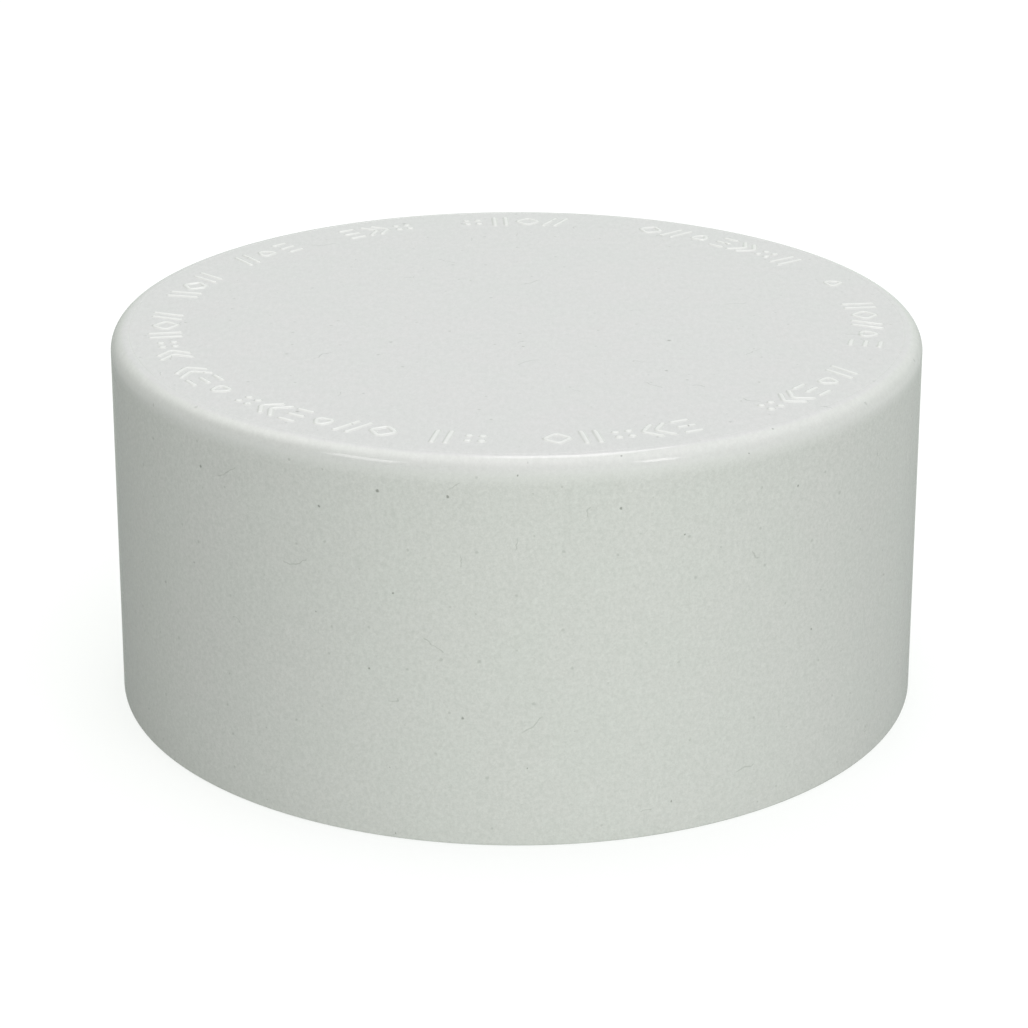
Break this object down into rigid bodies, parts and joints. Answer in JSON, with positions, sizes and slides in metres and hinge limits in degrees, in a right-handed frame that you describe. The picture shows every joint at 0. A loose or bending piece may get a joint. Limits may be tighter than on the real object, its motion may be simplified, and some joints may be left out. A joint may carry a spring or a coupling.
{
  "type": "pipe cap",
  "caption": "Round slip-on pipe cap: a deep straight socket closed by a flat end with a rounded edge.",
  "frame": {"origin": "centre of the open mouth, in the plane of its rim", "axes": "+Z along the cap's axis towards the closed end; +X and +Y lie in the plane of the rim"},
  "size_m": [0.101, 0.101, 0.0467],
  "materials": {
    "pvc": "glossy moulded rigid PVC, off-white with a faint green-grey tint and fine dust specks"
  },
  "bodies": {
    "root": {"cap": "pvc"}
  },
  "joints": []
}
